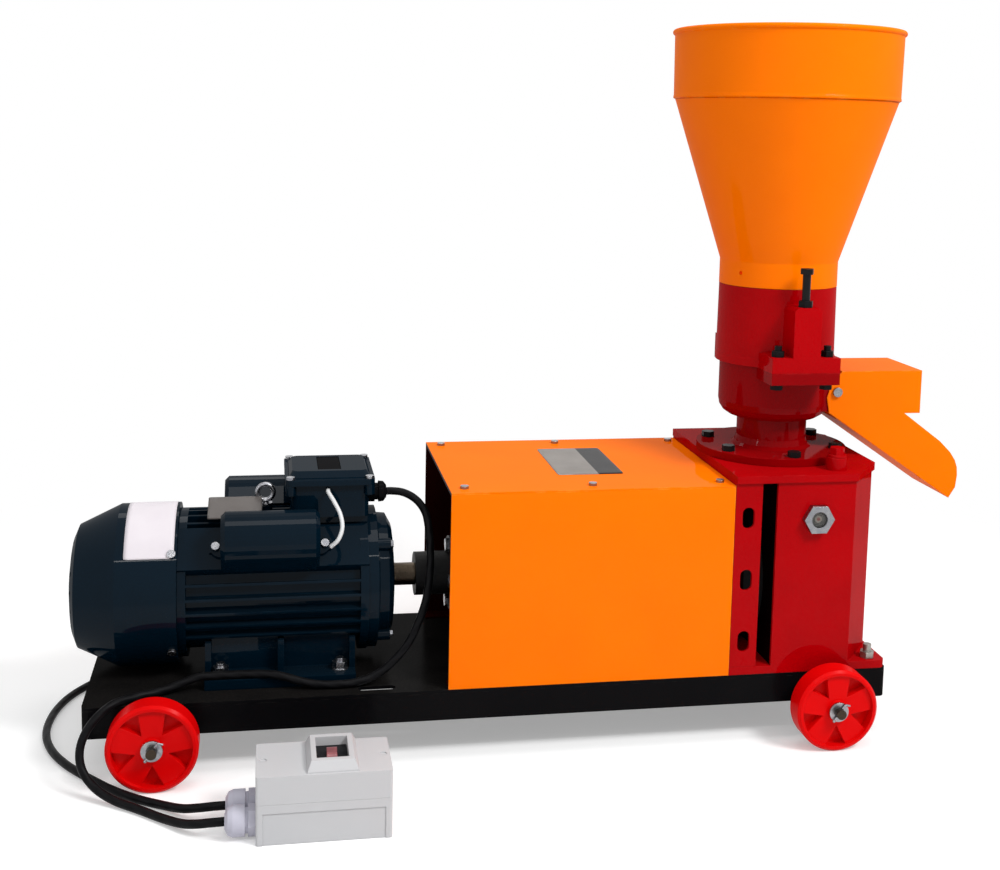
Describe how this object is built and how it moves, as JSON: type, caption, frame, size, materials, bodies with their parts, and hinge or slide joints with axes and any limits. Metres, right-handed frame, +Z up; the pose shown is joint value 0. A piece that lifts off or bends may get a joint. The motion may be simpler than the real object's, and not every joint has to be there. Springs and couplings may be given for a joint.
{
  "type": "feed pellet mill",
  "caption": "Flat-die pellet mill on a wheeled plate: finned motor, guarded coupling, bevel gearbox, barrel with rollers, conical hopper, outlet chute and a switch box on the cable.",
  "frame": {"origin": "middle of the machine's footprint on the floor, without its cable, switch box and plug", "axes": "+X along the machine from the motor to the mill, +Y away from the pictured side, +Z up"},
  "size_m": [1.1567, 0.6922, 0.874],
  "materials": {
    "black_paint": "satin black paint",
    "zinc_steel": "bright zinc plate",
    "wheel_red": "gloss red paint",
    "motor_paint": "gloss dark teal enamel",
    "copper_winding": "varnished",
    "machined_steel": "machined",
    "black_plastic": "matte",
    "white_plastic": "satin",
    "dark_iron": "oiled black iron",
    "orange_paint": "gloss orange enamel",
    "red_paint": "gloss red enamel",
    "sight_glass": "clear",
    "black_bolts": "black oxide",
    "grey_plastic": "satin",
    "toggle_plastic": "satin",
    "gland_plastic": "satin",
    "cable_rubber": "matte"
  },
  "bodies": {
    "base": {"base_frame": "black_paint", "frame_skirt": "black_paint", "wheel_axles": "zinc_steel", "motor_housing": "motor_paint", "motor_stator": "copper_winding", "drive_end_shield": "motor_paint", "rear_end_shield": "motor_paint", "ball_bearings": "machined_steel", "fan_cowl": "motor_paint", "motor_screws": "zinc_steel", "terminal_box": "motor_paint", "terminal_box_lid": "motor_paint", "motor_cable_gland": "black_plastic", "capacitor_covers": "motor_paint", "capacitors": "white_plastic", "capacitor_lead": "white_plastic", "lifting_eye": "zinc_steel", "guard_body": "orange_paint", "guard_cover": "orange_paint", "guard_screws": "zinc_steel", "end_frame": "red_paint", "gearbox_housing": "red_paint", "gearbox_top_plate": "red_paint", "input_bell": "dark_iron", "sight_glass_bezel": "zinc_steel", "sight_glass_lens": "sight_glass", "filler_plug": "red_paint", "mill_bolts": "black_bolts", "lower_barrel": "red_paint", "upper_barrel": "red_paint", "chute_pins": "zinc_steel", "switch_box_base": "grey_plastic", "switch_box_lid": "grey_plastic", "breaker": "white_plastic", "switch_box_glands": "gland_plastic", "plug": "black_plastic", "motor_lead": "cable_rubber", "supply_cord": "cable_rubber", "supply_coil": "cable_rubber"},
    "mill_rotor": {"main_shaft": "machined_steel", "crown_gear": "machined_steel", "flat_die": "machined_steel", "thrower_plate": "machined_steel"},
    "drive_line": {"motor_rotor": "machined_steel", "cooling_fan": "black_plastic", "motor_coupling_half": "dark_iron", "mill_coupling_half": "dark_iron", "coupling_pins": "zinc_steel", "pinion_shaft": "machined_steel"},
    "roller_carrier": {"roller_axle": "machined_steel"},
    "front_roller": {"front_roller": "machined_steel"},
    "rear_roller": {"rear_roller": "machined_steel"},
    "adjusting_bolts": {"adjusting_bolts": "black_bolts"},
    "hopper": {"hopper": "orange_paint"},
    "chute": {"chute": "orange_paint"},
    "breaker_toggle": {"breaker_toggle": "toggle_plastic"},
    "front_left_wheel": {"front_left_wheel": "wheel_red"},
    "front_right_wheel": {"front_right_wheel": "wheel_red"},
    "rear_left_wheel": {"rear_left_wheel": "wheel_red"},
    "rear_right_wheel": {"rear_right_wheel": "wheel_red"}
  },
  "joints": [
    {"name": "drive_line_spin", "type": "hinge", "parent": "base", "child": "drive_line", "pos_m": [0, 0, 0.185], "axis": [1, 0, 0], "continuous": true},
    {"name": "main_shaft_spin", "type": "hinge", "parent": "base", "child": "mill_rotor", "pos_m": [0.32, 0, 0.3], "axis": [0, 0, 1], "continuous": true},
    {"name": "roller_lift", "type": "slide", "parent": "base", "child": "roller_carrier", "axis": [0, 0, 1], "range_m": [0, 0.004]},
    {"name": "adjusting_bolt_lift", "type": "slide", "parent": "base", "child": "adjusting_bolts", "axis": [0, 0, 1], "range_m": [0, 0.004]},
    {"name": "front_roller_spin", "type": "hinge", "parent": "roller_carrier", "child": "front_roller", "pos_m": [0.32, 0, 0.47842], "axis": [0, 1, 0], "continuous": true},
    {"name": "rear_roller_spin", "type": "hinge", "parent": "roller_carrier", "child": "rear_roller", "pos_m": [0.32, 0, 0.47842], "axis": [0, 1, 0], "continuous": true},
    {"name": "hopper_lift", "type": "slide", "parent": "base", "child": "hopper", "axis": [0, 0, 1], "range_m": [0, 0.15]},
    {"name": "chute_tilt", "type": "hinge", "parent": "base", "child": "chute", "pos_m": [0.3867, 0, 0.4205], "axis": [0, -1, 0], "range_deg": [0, 15]},
    {"name": "breaker_switch", "type": "hinge", "parent": "base", "child": "breaker_toggle", "pos_m": [-0.26, -0.2655, 0.0716], "axis": [1, 0, 0], "range_deg": [0, 44]},
    {"name": "front_left_wheel_spin", "type": "hinge", "parent": "base", "child": "front_left_wheel", "pos_m": [-0.454, 0, 0.051], "axis": [0, 1, 0], "continuous": true},
    {"name": "front_right_wheel_spin", "type": "hinge", "parent": "base", "child": "front_right_wheel", "pos_m": [0.354, 0, 0.051], "axis": [0, 1, 0], "continuous": true},
    {"name": "rear_left_wheel_spin", "type": "hinge", "parent": "base", "child": "rear_left_wheel", "pos_m": [-0.454, 0, 0.051], "axis": [0, 1, 0], "continuous": true},
    {"name": "rear_right_wheel_spin", "type": "hinge", "parent": "base", "child": "rear_right_wheel", "pos_m": [0.354, 0, 0.051], "axis": [0, 1, 0], "continuous": true}
  ],
  "couplings": [
    {"joint": "main_shaft_spin", "follows": "drive_line_spin", "ratio": 0.28571},
    {"joint": "front_roller_spin", "follows": "drive_line_spin", "ratio": -0.33333},
    {"joint": "rear_roller_spin", "follows": "drive_line_spin", "ratio": 0.33333},
    {"joint": "adjusting_bolt_lift", "follows": "roller_lift", "ratio": 1}
  ]
}
